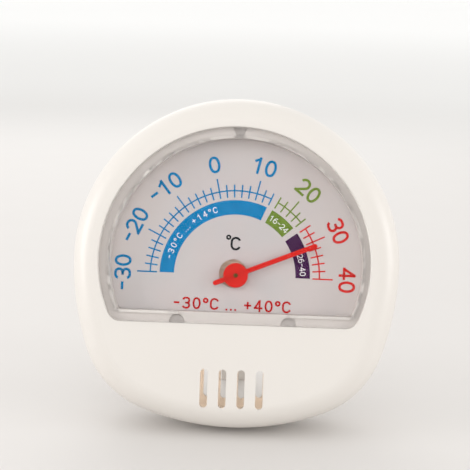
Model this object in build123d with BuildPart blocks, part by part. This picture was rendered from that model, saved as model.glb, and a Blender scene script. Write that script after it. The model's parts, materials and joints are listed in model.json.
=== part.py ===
from build123d import *
import os
from math import cos, radians, sin, tan

# A dial thermometer for a cold room or a refrigerator, standing on a fold-out strut.
#
# Millimetres, +Z up, dial towards -Y. The origin is on the floor, in the middle of the
# footprint. The whole case leans back, so nearly everything is drawn on FACE, the plane of
# the bezel's front: its x runs to the right, its y up the dial, and its own origin is on the
# spindle. Depths are measured from FACE towards the back.

os.makedirs("parts", exist_ok=True)

# --- Driving dimensions ---------------------------------------------------------------

# Case: a half circle on two long side arcs, closed by corner arcs and a base arc.
TOP_RADIUS = 37.5
SIDE_RADIUS = 63.0
CORNER_RADIUS = 22.0
BASE_RADIUS = 58.0
BASE_DROP = 38.2
CASE_DEPTH = 20.0
PARTING_DEPTH = 11.5
FRONT_ROUND = 5.6
REAR_ROUND = 7.0
PARTING_CHAMFER = 0.2
WALL = 1.6
LEAN = 12.0
LAND_DEPTH = 0.3

# The spindle sits a little below the centre of the case's half circle.
DIAL_DROP = 3.05

# Locating lip of the rear cover, inside the front housing.
LIP_THICKNESS = 0.8
LIP_HEIGHT = 1.2
LIP_CLEARANCE = 0.1

# Window: a circle with a flat floor, moulded a little off centre. Behind it a ledge that
# carries the lens runs round a well, which has the same shape and is on centre.
WINDOW_RADIUS = 30.8
WINDOW_SHIFT = 0.3
WINDOW_DROP = 0.2
WINDOW_FLOOR = 11.0
WINDOW_CORNER = 3.2
RIM_ROUND = 0.3
WELL_DROP = 0.6
WELL_CORNER = 0.7
SMALLEST_CORNER = 0.6
LEDGE_WIDTH = 2.0
LEDGE_FLOOR_WIDTH = 2.5
LEDGE_THICKNESS = 1.4
RIB_WIDTH = 0.6
RIB_HEIGHT = 0.5
WELL_WALL = 1.5

# Lens, located in the ledge by a tapered key at the top and two half-round pegs at the floor.
LENS_THICKNESS = 1.5
LENS_PROUD = 0.4
LENS_EDGE_ROUND = 0.35
LENS_CLEARANCE = 0.1
KEY_WIDTH = 3.4
KEY_HEIGHT = 1.6
KEY_ANGLE = 62.0
PEG_RADIUS = 1.75
PEG_SPREAD = 12.7
PEG_LENGTH = 1.3
PEG_CLEARANCE = 0.05

# Dial card on the deck at the bottom of the window's well.
CARD_DEPTH = 5.0
CARD_THICKNESS = 0.5
CARD_CLEARANCE = 0.15
CARD_HOLE_RADIUS = 3.2
DECK_THICKNESS = 1.6
DECK_HOLE_RADIUS = 5.0

# Ventilation slots, the same group in the front and in the rear.
VENT_COUNT = 4
VENT_SPACING = 4.2
VENT_WIDTH = 1.7
VENT_LENGTH = 8.8
VENT_HEIGHT = 9.5
REAR_VENT_HEIGHT = 9.6

# Case screws, sunk in deep wells in the rear cover.
SCREW_RING_RADIUS = 33.1
SCREW_RING_ANGLE = 50.0
LOWER_SCREW_X = 23.0
LOWER_SCREW_DROP = 25.0
CASE_SCREW_RADIUS = 1.1
CASE_SCREW_HEAD_RADIUS = 1.9
CASE_SCREW_HEAD_HEIGHT = 1.5
CASE_SCREW_LENGTH = 8.0
SCREW_SEAT_DEPTH = 15.5
SCREW_WELL_CLEARANCE = 0.3
SCREW_WELL_WALL = 1.0
PILLAR_RADIUS = 2.3
THREAD_CLEARANCE = 0.02
PASSING_CLEARANCE = 0.15

# Keyhole for hanging on a screw or a hook.
KEYHOLE_RADIUS = 3.0
KEYHOLE_SLOT_RADIUS = 1.6
KEYHOLE_RISE = 5.0
KEYHOLE_HEIGHT = 20.0

# Strut and its hinge. The strut is drawn open, as it stands.
STRUT_WIDTH = 7.0
STRUT_THICKNESS = 2.6
STRUT_OPENING = 34.0
STRUT_SIDE_CLEARANCE = 0.2
STRUT_FACE_CLEARANCE = 0.2
STRUT_TIP_ROUND = 1.2
HINGE_HEIGHT = 43.0
HINGE_PIN_RADIUS = 0.6
HINGE_CLEARANCE = 0.05
STOP_CLEARANCE = 0.05
RECESS_WALL = 1.4
RECESS_FLOOR = 1.3
POCKET_WIDTH = 3.6
POCKET_LENGTH = 26.0
POCKET_DEPTH = 0.9

# Pointer and spindle.
REST_READING = 31.4
SCALE_MINIMUM = -30.0
SCALE_MAXIMUM = 40.0
SCALE_SWEEP = 180.0
POINTER_DEPTH = 3.4
HUB_RADIUS = 2.82
HUB_THICKNESS = 0.8
NEEDLE_WIDTH = 1.1
NEEDLE_THICKNESS = 0.4
NEEDLE_REACH = 19.9
NEEDLE_TAIL = 5.5
SPINDLE_RADIUS = 0.5
SPINDLE_PROUD = 0.15
RUNNING_CLEARANCE = 0.03

# Movement: a plate screwed under the deck, with a bridge on two pillars.
MOVEMENT_BOSS_HEIGHT = 1.2
MOVEMENT_BOSS_RADIUS = 2.2
MOVEMENT_SCREW_SPACE = 1.1
MOVEMENT_SCREW_RADIUS = 0.8
MOVEMENT_SCREW_HEAD_RADIUS = 1.6
MOVEMENT_SCREW_HEAD_HEIGHT = 0.9
MOVEMENT_SCREW_LENGTH = 2.4
PLATE_THICKNESS = 0.8
PLATE_WIDTH = 8.0
PLATE_END = 2.4
PILLAR_SPACE = 0.4
MOVEMENT_PILLAR_RADIUS = 1.3
MOVEMENT_PILLAR_HEIGHT = 4.5
TENON_RADIUS = 0.7
BRIDGE_THICKNESS = 0.6
BRIDGE_WIDTH = 5.0
BRIDGE_END = 2.2
BRIDGE_SCREW_RADIUS = 0.6
BRIDGE_SCREW_HEAD_RADIUS = 1.2
BRIDGE_SCREW_HEAD_HEIGHT = 0.7
BRIDGE_SCREW_LENGTH = 2.4
BUSH_WALL = 0.7
BUSH_OVERHANG = 0.2

# Bimetal coil, wound from half turns, with its collar and stud.
COIL_STRIP = 0.3
COIL_HEIGHT = 2.2
COIL_PITCH = 1.1
COIL_HALF_TURNS = 12
COIL_STANDOFF = 0.8
COLLAR_RADIUS = 1.6
COLLAR_OVERHANG = 0.3
COLLAR_GAP = 0.1
STUD_RADIUS = 0.7
STUD_GAP = 0.05
WASHER_RADIUS = 1.2
WASHER_THICKNESS = 0.2
WASHER_GAP = 0.1
CLIP_RADIUS = 1.0
CLIP_THICKNESS = 0.3
SPINDLE_END = 0.25

CROSS_WIDTH_SHARE = 0.28
CROSS_LENGTH_SHARE = 1.3
CROSS_DEPTH_SHARE = 0.45

# --- Derived places -------------------------------------------------------------------

case_bottom = DIAL_DROP - BASE_DROP
window_centre = DIAL_DROP - WINDOW_DROP
well_centre = DIAL_DROP - WELL_DROP
well_radius = WINDOW_RADIUS - LEDGE_WIDTH
well_floor = LEDGE_FLOOR_WIDTH - WINDOW_FLOOR

lens_back = LENS_THICKNESS - LENS_PROUD
ledge_depth = lens_back + RIB_HEIGHT
ledge_back = ledge_depth + LEDGE_THICKNESS
deck_depth = CARD_DEPTH + CARD_THICKNESS
deck_back = deck_depth + DECK_THICKNESS
plate_depth = deck_back + MOVEMENT_BOSS_HEIGHT
plate_back = plate_depth + PLATE_THICKNESS
bridge_depth = plate_back + MOVEMENT_PILLAR_HEIGHT
bridge_back = bridge_depth + BRIDGE_THICKNESS
coil_depth = plate_back + COIL_STANDOFF
collar_depth = coil_depth - COLLAR_OVERHANG
bush_radius = SPINDLE_RADIUS + RUNNING_CLEARANCE + BUSH_WALL
clip_depth = bridge_back + BUSH_OVERHANG + WASHER_GAP
spindle_back = clip_depth + CLIP_THICKNESS + SPINDLE_END

recess_depth = STRUT_THICKNESS + 2 * STRUT_FACE_CLEARANCE
recess_half_width = STRUT_WIDTH / 2 + STRUT_SIDE_CLEARANCE
recess_block_half_width = recess_half_width + RECESS_WALL
hinge_depth = CASE_DEPTH - STRUT_FACE_CLEARANCE - STRUT_THICKNESS / 2
hinge_v = case_bottom + HINGE_HEIGHT
recess_top = hinge_v + STRUT_THICKNESS / 2 + 2 * STRUT_FACE_CLEARANCE
stop_reach = recess_depth - STRUT_FACE_CLEARANCE - STRUT_THICKNESS / 2 - STOP_CLEARANCE
heel = (stop_reach - STRUT_THICKNESS / 2 * cos(radians(STRUT_OPENING))) / sin(radians(STRUT_OPENING))

# Bimetal coil: the radii of its first and last half turns, and where the strip ends.
first_turn = COLLAR_RADIUS + COLLAR_GAP + COIL_STRIP / 2 + COIL_PITCH / 4
last_turn = first_turn + (COIL_HALF_TURNS - 1) * COIL_PITCH / 2
coil_start = first_turn - COIL_PITCH / 4
coil_end = last_turn + COIL_PITCH / 4
stud_x = coil_end + COIL_STRIP / 2 + STUD_GAP + STUD_RADIUS
pillar_x = stud_x + STUD_RADIUS + PILLAR_SPACE + MOVEMENT_PILLAR_RADIUS
movement_screw_x = pillar_x + MOVEMENT_PILLAR_RADIUS + MOVEMENT_SCREW_SPACE + MOVEMENT_SCREW_HEAD_RADIUS

# The floor touches the round of the rear edge, which is cut flat there by LAND_DEPTH.
lean = radians(LEAN)
strut_angle = radians(STRUT_OPENING - LEAN)
lowest = (case_bottom + REAR_ROUND) * cos(lean) - (CASE_DEPTH - REAR_ROUND) * sin(lean) - REAR_ROUND
face_z = -lowest - LAND_DEPTH
hinge_z = face_z + hinge_v * cos(lean) - hinge_depth * sin(lean)
strut_length = hinge_z / cos(strut_angle)
front_y = (case_bottom + FRONT_ROUND) * sin(lean) + FRONT_ROUND * cos(lean) - FRONT_ROUND
hinge_y = hinge_v * sin(lean) + hinge_depth * cos(lean)
foot_y = hinge_y + hinge_z * tan(strut_angle) + STRUT_THICKNESS / 2 / cos(strut_angle)
face_y = -(front_y + foot_y) / 2

FACE = Plane(origin=(0, face_y, face_z), x_dir=(1, 0, 0), z_dir=(0, -cos(lean), sin(lean)))
BACKWARDS = Axis((0, 0, 0), (0, cos(lean), -sin(lean)))
hinge_point = FACE.from_local_coords((0, hinge_v, -hinge_depth))
strut_down = (0, sin(strut_angle), -cos(strut_angle))
STRUT_PROFILE = Plane(origin=hinge_point, x_dir=strut_down, z_dir=(1, 0, 0))

degrees_per_unit = SCALE_SWEEP / (SCALE_MAXIMUM - SCALE_MINIMUM)
pointer_angle = (SCALE_MAXIMUM - REST_READING) * degrees_per_unit

case_screw_places = [
    (side * SCREW_RING_RADIUS * cos(radians(SCREW_RING_ANGLE)),
     DIAL_DROP + SCREW_RING_RADIUS * sin(radians(SCREW_RING_ANGLE)))
    for side in (-1, 1)
] + [(side * LOWER_SCREW_X, DIAL_DROP - LOWER_SCREW_DROP) for side in (-1, 1)]
movement_screw_places = [(-movement_screw_x, 0), (movement_screw_x, 0)]
movement_pillar_places = [(-pillar_x, 0), (pillar_x, 0)]
peg_places = [
    (side * PEG_SPREAD - WINDOW_SHIFT, LENS_CLEARANCE - WINDOW_FLOOR) for side in (-1, 1)
]


# --- Shared shapes --------------------------------------------------------------------

def layer(depth):
    """The plane parallel to the face at a depth behind it."""
    return FACE.offset(-depth)


def case_outline(inset):
    """The case's outline, every arc of it set in by the same amount."""
    side_centre = Vector(TOP_RADIUS - SIDE_RADIUS, DIAL_DROP)
    base_centre = Vector(0, case_bottom + BASE_RADIUS)
    to_base = base_centre - side_centre
    from_side = SIDE_RADIUS - CORNER_RADIUS
    from_base = BASE_RADIUS - CORNER_RADIUS
    along = (from_side**2 - from_base**2 + to_base.length**2) / (2 * to_base.length)
    across = (from_side**2 - along**2) ** 0.5
    direction = to_base.normalized()
    corner_centre = side_centre + direction * along + Vector(direction.Y, -direction.X) * across
    side_end = side_centre + (corner_centre - side_centre).normalized() * (SIDE_RADIUS - inset)
    base_end = base_centre + (corner_centre - base_centre).normalized() * (BASE_RADIUS - inset)
    radius = TOP_RADIUS - inset
    with BuildSketch() as outline:
        with BuildLine():
            ThreePointArc((radius, DIAL_DROP), (0, DIAL_DROP + radius), (-radius, DIAL_DROP))
            for side in (-1, 1):
                shoulder = (side * radius, DIAL_DROP)
                upper_corner = (side * side_end.X, side_end.Y)
                lower_corner = (side * base_end.X, base_end.Y)
                base_middle = (0, case_bottom + inset)
                RadiusArc(shoulder, upper_corner, side * (SIDE_RADIUS - inset))
                RadiusArc(upper_corner, lower_corner, side * (CORNER_RADIUS - inset))
                RadiusArc(lower_corner, base_middle, side * (BASE_RADIUS - inset))
        make_face()
    return outline.sketch


def flat_circle(radius, centre, floor, corner):
    """A circle cut off flat at the bottom, with rounded corners."""
    with BuildSketch() as outline:
        with Locations(centre):
            Circle(radius)
        with Locations((0, floor)):
            Rectangle(
                4 * radius, 4 * radius, align=(Align.CENTER, Align.MAX), mode=Mode.SUBTRACT,
            )
        fillet(outline.vertices(), max(corner, SMALLEST_CORNER))
    return outline.sketch


def window_outline(inset):
    """The window's outline, set in by some amount."""
    return flat_circle(
        WINDOW_RADIUS - inset, (-WINDOW_SHIFT, window_centre),
        inset - WINDOW_FLOOR, WINDOW_CORNER - inset,
    )


def well_outline(inset):
    """The outline of the well behind the window, set in by some amount."""
    return flat_circle(
        well_radius - inset, (0, well_centre), well_floor + inset, WELL_CORNER - inset,
    )


def peg_outline(growth):
    """The outlines of the lens's key and pegs, grown by some amount."""
    with BuildSketch() as outline:
        with Locations((0, window_centre + WINDOW_RADIUS)):
            Trapezoid(
                KEY_WIDTH + 2 * growth, KEY_HEIGHT + LENS_CLEARANCE + growth, KEY_ANGLE,
                rotation=180, align=(Align.CENTER, Align.MIN),
            )
        with Locations(*peg_places):
            Circle(PEG_RADIUS + growth)
        add(window_outline(LENS_CLEARANCE - growth), mode=Mode.INTERSECT)
    return outline.sketch


def case_block(front, back, inset):
    """A solid block of the case's outline between two depths."""
    with BuildPart() as block:
        with BuildSketch(layer(front)):
            add(case_outline(inset))
        extrude(amount=front - back)
    return block


def screw_group(places, seat_depth, radius, length, head_radius, head_height):
    """Pan-head screws driven from behind, their heads seated at a depth."""
    with BuildPart() as screws:
        with BuildSketch(layer(seat_depth)):
            with Locations(*places):
                Circle(head_radius)
        extrude(amount=-head_height)
        head_rims = screws.faces().sort_by(BACKWARDS)[-len(places):].edges()
        fillet(head_rims, head_height / 3)
        with BuildSketch(layer(seat_depth)):
            with Locations(*places):
                Circle(radius)
        extrude(amount=length)
        with BuildSketch(layer(seat_depth + head_height)):
            with Locations(*places):
                Rectangle(head_radius * CROSS_LENGTH_SHARE, head_radius * CROSS_WIDTH_SHARE)
                Rectangle(head_radius * CROSS_WIDTH_SHARE, head_radius * CROSS_LENGTH_SHARE)
        extrude(amount=head_height * CROSS_DEPTH_SHARE, mode=Mode.SUBTRACT)
    return screws


def ring(depth, length, outer_radius, inner_radius):
    """A turned ring on the spindle's axis."""
    with BuildPart() as turned:
        with BuildSketch(layer(depth)):
            Circle(outer_radius)
            Circle(inner_radius, mode=Mode.SUBTRACT)
        extrude(amount=-length)
    return turned


# --- Case -----------------------------------------------------------------------------

# The empty space in the front housing: its core less the pillars of the case screws.
with BuildPart() as front_cavity:
    add(case_block(WALL, PARTING_DEPTH, WALL).part)
    fillet(front_cavity.faces().sort_by(BACKWARDS)[0].edges(), FRONT_ROUND - WALL)
    with BuildSketch(layer(WALL)):
        with Locations(*case_screw_places):
            Circle(PILLAR_RADIUS)
    extrude(amount=-PARTING_DEPTH, mode=Mode.SUBTRACT)

# Front housing: the rounded shell, the ledge with its rib, and the well with its deck.
with BuildPart() as front_housing:
    add(case_block(0, PARTING_DEPTH, 0).part)
    fillet(front_housing.faces().sort_by(BACKWARDS)[0].edges(), FRONT_ROUND)
    chamfer(front_housing.faces().sort_by(BACKWARDS)[-1].edges(), PARTING_CHAMFER)
    add(front_cavity.part, mode=Mode.SUBTRACT)
    with BuildSketch(layer(WALL / 2)):
        add(window_outline(-WALL))
    extrude(amount=WALL / 2 - ledge_back)
    with BuildSketch(layer(WALL)):
        add(well_outline(-WELL_WALL))
    extrude(amount=WALL - deck_back)
    with BuildSketch(layer(0)):
        add(window_outline(0))
    extrude(amount=-ledge_depth, mode=Mode.SUBTRACT)
    window_rim = front_housing.faces().sort_by(BACKWARDS)[0].inner_wires()[0]
    fillet(window_rim.edges(), RIM_ROUND)
    with BuildSketch(layer(0)):
        add(well_outline(0))
    extrude(amount=-deck_depth, mode=Mode.SUBTRACT)
    with BuildSketch(layer(ledge_depth)):
        add(well_outline(-RIB_WIDTH))
        add(well_outline(0), mode=Mode.SUBTRACT)
        with Locations((0, well_floor)):
            Rectangle(2 * PEG_SPREAD, 4 * RIB_WIDTH, mode=Mode.SUBTRACT)
    extrude(amount=RIB_HEIGHT)
    with BuildSketch(layer(lens_back)):
        add(peg_outline(PEG_CLEARANCE))
    extrude(amount=-PEG_LENGTH - PEG_CLEARANCE, mode=Mode.SUBTRACT)
    with BuildSketch(layer(deck_depth)):
        Circle(DECK_HOLE_RADIUS)
    extrude(amount=-DECK_THICKNESS, mode=Mode.SUBTRACT)
    with BuildSketch(layer(deck_back)):
        with Locations(*movement_screw_places):
            Circle(MOVEMENT_BOSS_RADIUS)
    extrude(amount=-MOVEMENT_BOSS_HEIGHT)
    with BuildSketch(layer(plate_depth)):
        with Locations(*movement_screw_places):
            Circle(MOVEMENT_SCREW_RADIUS + THREAD_CLEARANCE)
    extrude(amount=MOVEMENT_SCREW_LENGTH - PLATE_THICKNESS + PASSING_CLEARANCE, mode=Mode.SUBTRACT)
    with BuildSketch(layer(PARTING_DEPTH)):
        with Locations(*case_screw_places):
            Circle(CASE_SCREW_RADIUS + THREAD_CLEARANCE)
    extrude(
        amount=CASE_SCREW_LENGTH - SCREW_SEAT_DEPTH + PARTING_DEPTH + PASSING_CLEARANCE,
        mode=Mode.SUBTRACT,
    )
    with BuildSketch(layer(0)):
        with Locations((0, case_bottom + VENT_HEIGHT)):
            with GridLocations(VENT_SPACING, 0, VENT_COUNT, 1):
                SlotOverall(VENT_LENGTH, VENT_WIDTH, rotation=90)
    extrude(amount=-2 * WALL, mode=Mode.SUBTRACT)
front_housing.part.label = "front_housing"
export_step(front_housing.part, "parts/front_housing.step")

# The empty space in the rear cover: its core less the strut's recess and the screw wells.
with BuildPart() as rear_cavity:
    add(case_block(PARTING_DEPTH, CASE_DEPTH - WALL, WALL).part)
    fillet(rear_cavity.faces().sort_by(BACKWARDS)[-1].edges(), REAR_ROUND - WALL)
    with BuildSketch(layer(CASE_DEPTH - recess_depth - RECESS_FLOOR)):
        with Locations((0, recess_top + RECESS_WALL)):
            Rectangle(
                2 * recess_block_half_width, 2 * BASE_DROP + HINGE_HEIGHT,
                align=(Align.CENTER, Align.MAX),
            )
    extrude(amount=-CASE_DEPTH, mode=Mode.SUBTRACT)
    with BuildSketch(layer(PARTING_DEPTH)):
        with Locations(*case_screw_places):
            Circle(CASE_SCREW_HEAD_RADIUS + SCREW_WELL_CLEARANCE + SCREW_WELL_WALL)
    extrude(amount=-CASE_DEPTH, mode=Mode.SUBTRACT)

# Rear cover: rounded shell, locating lip, recess with hinge holes, screw wells and keyhole.
with BuildPart() as rear_cover:
    add(case_block(PARTING_DEPTH, CASE_DEPTH, 0).part)
    fillet(rear_cover.faces().sort_by(BACKWARDS)[-1].edges(), REAR_ROUND)
    chamfer(rear_cover.faces().sort_by(BACKWARDS)[0].edges(), PARTING_CHAMFER)
    add(rear_cavity.part, mode=Mode.SUBTRACT)
    with BuildSketch(layer(PARTING_DEPTH)):
        add(case_outline(WALL + LIP_CLEARANCE))
        add(case_outline(WALL + LIP_CLEARANCE + LIP_THICKNESS), mode=Mode.SUBTRACT)
        with Locations(*case_screw_places):
            Circle(PILLAR_RADIUS + 2 * LIP_CLEARANCE, mode=Mode.SUBTRACT)
    extrude(amount=LIP_HEIGHT)
    with BuildSketch(layer(PARTING_DEPTH)):
        add(case_outline(WALL / 2))
        add(case_outline(WALL + LIP_CLEARANCE + LIP_THICKNESS), mode=Mode.SUBTRACT)
        with Locations(*case_screw_places):
            Circle(CASE_SCREW_RADIUS + PASSING_CLEARANCE, mode=Mode.SUBTRACT)
    extrude(amount=-LIP_HEIGHT)
    with BuildSketch(layer(CASE_DEPTH)):
        with Locations((0, recess_top)):
            Rectangle(
                2 * recess_half_width, 2 * BASE_DROP + HINGE_HEIGHT,
                align=(Align.CENTER, Align.MAX),
            )
    extrude(amount=recess_depth, mode=Mode.SUBTRACT)
    with BuildSketch(Plane.YZ.offset(-recess_block_half_width)):
        with Locations((hinge_point.Y, hinge_point.Z)):
            Circle(HINGE_PIN_RADIUS)
    extrude(amount=2 * recess_block_half_width, mode=Mode.SUBTRACT)
    with BuildSketch(layer(CASE_DEPTH)):
        with Locations(*case_screw_places):
            Circle(CASE_SCREW_HEAD_RADIUS + SCREW_WELL_CLEARANCE)
    extrude(amount=CASE_DEPTH - SCREW_SEAT_DEPTH, mode=Mode.SUBTRACT)
    with BuildSketch(layer(CASE_DEPTH)):
        with Locations(*case_screw_places):
            Circle(CASE_SCREW_RADIUS + PASSING_CLEARANCE)
    extrude(amount=CASE_DEPTH - PARTING_DEPTH, mode=Mode.SUBTRACT)
    with BuildSketch(layer(CASE_DEPTH)):
        with Locations((0, KEYHOLE_HEIGHT)):
            Circle(KEYHOLE_RADIUS)
        with Locations((0, KEYHOLE_HEIGHT + KEYHOLE_RISE / 2)):
            SlotCenterToCenter(KEYHOLE_RISE, 2 * KEYHOLE_SLOT_RADIUS, rotation=90)
    extrude(amount=WALL, mode=Mode.SUBTRACT)
    with BuildSketch(layer(CASE_DEPTH)):
        with Locations((0, case_bottom + REAR_VENT_HEIGHT)):
            with GridLocations(VENT_SPACING, 0, VENT_COUNT, 1):
                SlotOverall(VENT_LENGTH, VENT_WIDTH, rotation=90)
    extrude(amount=recess_depth + RECESS_FLOOR, mode=Mode.SUBTRACT)
    split(bisect_by=Plane.XY, keep=Keep.TOP)
rear_cover.part.label = "rear_cover"
export_step(rear_cover.part, "parts/rear_cover.step")

case_screws = screw_group(
    case_screw_places, SCREW_SEAT_DEPTH, CASE_SCREW_RADIUS, CASE_SCREW_LENGTH,
    CASE_SCREW_HEAD_RADIUS, CASE_SCREW_HEAD_HEIGHT,
)
case_screws.part.label = "case_screws"
export_step(case_screws.part, "parts/case_screws.step")

# --- Window and dial ------------------------------------------------------------------

with BuildPart() as lens:
    with BuildSketch(layer(-LENS_PROUD)):
        add(window_outline(LENS_CLEARANCE))
    extrude(amount=-LENS_THICKNESS)
    fillet(lens.faces().sort_by(BACKWARDS)[0].edges(), LENS_EDGE_ROUND)
    with BuildSketch(layer(lens_back)):
        add(peg_outline(0))
    extrude(amount=-PEG_LENGTH)
lens.part.label = "lens"
export_step(lens.part, "parts/lens.step")

with BuildPart() as dial_card:
    with BuildSketch(layer(CARD_DEPTH)):
        add(well_outline(CARD_CLEARANCE))
        Circle(CARD_HOLE_RADIUS, mode=Mode.SUBTRACT)
    extrude(amount=-CARD_THICKNESS)
dial_card.part.label = "dial_card"
export_step(dial_card.part, "parts/dial_card.step")

# --- Pointer and its spindle ----------------------------------------------------------

with BuildPart() as pointer:
    with BuildSketch(layer(POINTER_DEPTH)):
        with PolarLocations((NEEDLE_REACH - NEEDLE_TAIL) / 2, 1, pointer_angle):
            SlotOverall(NEEDLE_REACH + NEEDLE_TAIL, NEEDLE_WIDTH)
    extrude(amount=-NEEDLE_THICKNESS)
    with BuildSketch(layer(POINTER_DEPTH)):
        Circle(HUB_RADIUS)
    extrude(amount=-HUB_THICKNESS)
    with BuildSketch(layer(POINTER_DEPTH)):
        Circle(SPINDLE_RADIUS)
    extrude(amount=-HUB_THICKNESS, mode=Mode.SUBTRACT)
pointer.part.label = "pointer"
export_step(pointer.part, "parts/pointer.step")

with BuildPart() as spindle:
    with BuildSketch(layer(POINTER_DEPTH - SPINDLE_PROUD)):
        Circle(SPINDLE_RADIUS)
    extrude(amount=POINTER_DEPTH - SPINDLE_PROUD - spindle_back)
    fillet(spindle.edges().filter_by(GeomType.CIRCLE), SPINDLE_PROUD)
spindle.part.label = "spindle"
export_step(spindle.part, "parts/spindle.step")

coil_collar = ring(collar_depth, COIL_HEIGHT + 2 * COLLAR_OVERHANG, COLLAR_RADIUS, SPINDLE_RADIUS)
coil_collar.part.label = "coil_collar"
export_step(coil_collar.part, "parts/coil_collar.step")

thrust_washer = ring(collar_depth - WASHER_THICKNESS, WASHER_THICKNESS, WASHER_RADIUS, SPINDLE_RADIUS)
thrust_washer.part.label = "thrust_washer"
export_step(thrust_washer.part, "parts/thrust_washer.step")

spindle_clip = ring(clip_depth, CLIP_THICKNESS, CLIP_RADIUS, SPINDLE_RADIUS)
spindle_clip.part.label = "spindle_clip"
export_step(spindle_clip.part, "parts/spindle_clip.step")

# --- Movement -------------------------------------------------------------------------

with BuildPart() as movement_plate:
    with BuildSketch(layer(plate_depth)):
        SlotOverall(2 * (movement_screw_x + PLATE_END), PLATE_WIDTH)
        Circle(bush_radius, mode=Mode.SUBTRACT)
        with Locations(*movement_screw_places):
            Circle(MOVEMENT_SCREW_RADIUS + PASSING_CLEARANCE, mode=Mode.SUBTRACT)
        with Locations(*movement_pillar_places):
            Circle(TENON_RADIUS, mode=Mode.SUBTRACT)
    extrude(amount=-PLATE_THICKNESS)
movement_plate.part.label = "movement_plate"
export_step(movement_plate.part, "parts/movement_plate.step")

with BuildPart() as movement_pillars:
    with BuildSketch(layer(plate_back)):
        with Locations(*movement_pillar_places):
            Circle(MOVEMENT_PILLAR_RADIUS)
    extrude(amount=-MOVEMENT_PILLAR_HEIGHT)
    with BuildSketch(layer(plate_back)):
        with Locations(*movement_pillar_places):
            Circle(TENON_RADIUS)
    extrude(amount=PLATE_THICKNESS)
    with BuildSketch(layer(bridge_depth)):
        with Locations(*movement_pillar_places):
            Circle(BRIDGE_SCREW_RADIUS + THREAD_CLEARANCE)
    extrude(amount=BRIDGE_SCREW_LENGTH - BRIDGE_THICKNESS + PASSING_CLEARANCE, mode=Mode.SUBTRACT)
movement_pillars.part.label = "movement_pillars"
export_step(movement_pillars.part, "parts/movement_pillars.step")

with BuildPart() as movement_bridge:
    with BuildSketch(layer(bridge_depth)):
        SlotOverall(2 * (pillar_x + BRIDGE_END), BRIDGE_WIDTH)
        Circle(bush_radius, mode=Mode.SUBTRACT)
        with Locations(*movement_pillar_places):
            Circle(BRIDGE_SCREW_RADIUS + PASSING_CLEARANCE, mode=Mode.SUBTRACT)
    extrude(amount=-BRIDGE_THICKNESS)
movement_bridge.part.label = "movement_bridge"
export_step(movement_bridge.part, "parts/movement_bridge.step")

movement_screws = screw_group(
    movement_screw_places, plate_back, MOVEMENT_SCREW_RADIUS, MOVEMENT_SCREW_LENGTH,
    MOVEMENT_SCREW_HEAD_RADIUS, MOVEMENT_SCREW_HEAD_HEIGHT,
)
movement_screws.part.label = "movement_screws"
export_step(movement_screws.part, "parts/movement_screws.step")

bridge_screws = screw_group(
    movement_pillar_places, bridge_back, BRIDGE_SCREW_RADIUS, BRIDGE_SCREW_LENGTH,
    BRIDGE_SCREW_HEAD_RADIUS, BRIDGE_SCREW_HEAD_HEIGHT,
)
bridge_screws.part.label = "bridge_screws"
export_step(bridge_screws.part, "parts/bridge_screws.step")

bush_bore = SPINDLE_RADIUS + RUNNING_CLEARANCE
front_bush = ring(plate_depth - BUSH_OVERHANG, PLATE_THICKNESS + 2 * BUSH_OVERHANG, bush_radius, bush_bore)
front_bush.part.label = "front_bush"
export_step(front_bush.part, "parts/front_bush.step")

rear_bush = ring(bridge_depth - BUSH_OVERHANG, BRIDGE_THICKNESS + 2 * BUSH_OVERHANG, bush_radius, bush_bore)
rear_bush.part.label = "rear_bush"
export_step(rear_bush.part, "parts/rear_bush.step")

# Bimetal coil: half turns whose centre steps from side to side, each one wider by half a pitch.
with BuildPart() as bimetal_coil:
    with BuildSketch(layer(coil_depth)):
        with BuildLine():
            for half_turn in range(COIL_HALF_TURNS):
                centre = (COIL_PITCH / 4 * (-1) ** (half_turn + 1), 0)
                radius = first_turn + half_turn * COIL_PITCH / 2
                CenterArc(centre, radius - COIL_STRIP / 2, 180 * half_turn, 180)
                CenterArc(centre, radius + COIL_STRIP / 2, 180 * half_turn, 180)
            Line((coil_start - COIL_STRIP / 2, 0), (coil_start + COIL_STRIP / 2, 0))
            Line((coil_end - COIL_STRIP / 2, 0), (coil_end + COIL_STRIP / 2, 0))
        make_face()
    extrude(amount=-COIL_HEIGHT)
bimetal_coil.part.label = "bimetal_coil"
export_step(bimetal_coil.part, "parts/bimetal_coil.step")

with BuildPart() as coil_stud:
    with BuildSketch(layer(plate_back)):
        with Locations((stud_x, 0)):
            Circle(STUD_RADIUS)
    extrude(amount=-(COIL_STANDOFF + COIL_HEIGHT + COLLAR_OVERHANG))
coil_stud.part.label = "coil_stud"
export_step(coil_stud.part, "parts/coil_stud.step")

# --- Strut ----------------------------------------------------------------------------

# The strut's knuckle has a square heel, which meets the recess floor and stops the opening.
with BuildPart() as stand:
    with BuildSketch(STRUT_PROFILE.offset(-STRUT_WIDTH / 2)):
        Circle(STRUT_THICKNESS / 2)
        Rectangle(
            strut_length + STRUT_THICKNESS, STRUT_THICKNESS,
            align=(Align.MIN, Align.CENTER),
        )
        Rectangle(heel, STRUT_THICKNESS / 2, align=(Align.MAX, Align.MAX))
        Circle(HINGE_PIN_RADIUS + HINGE_CLEARANCE, mode=Mode.SUBTRACT)
    extrude(amount=STRUT_WIDTH)
    split(bisect_by=Plane.XY, keep=Keep.TOP)
    foot_edges = stand.edges().group_by(Axis.Z)[0].sort_by(Axis.Y)
    fillet(foot_edges[-1], STRUT_TIP_ROUND)
    pocket_face = Plane(
        origin=hinge_point + Vector(*strut_down) * strut_length / 2
        - STRUT_PROFILE.y_dir * STRUT_THICKNESS / 2,
        x_dir=(1, 0, 0), z_dir=-STRUT_PROFILE.y_dir,
    )
    with BuildSketch(pocket_face):
        SlotOverall(POCKET_LENGTH, POCKET_WIDTH, rotation=90)
    extrude(amount=-POCKET_DEPTH, mode=Mode.SUBTRACT)
stand.part.label = "stand"
export_step(stand.part, "parts/stand.step")

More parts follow.
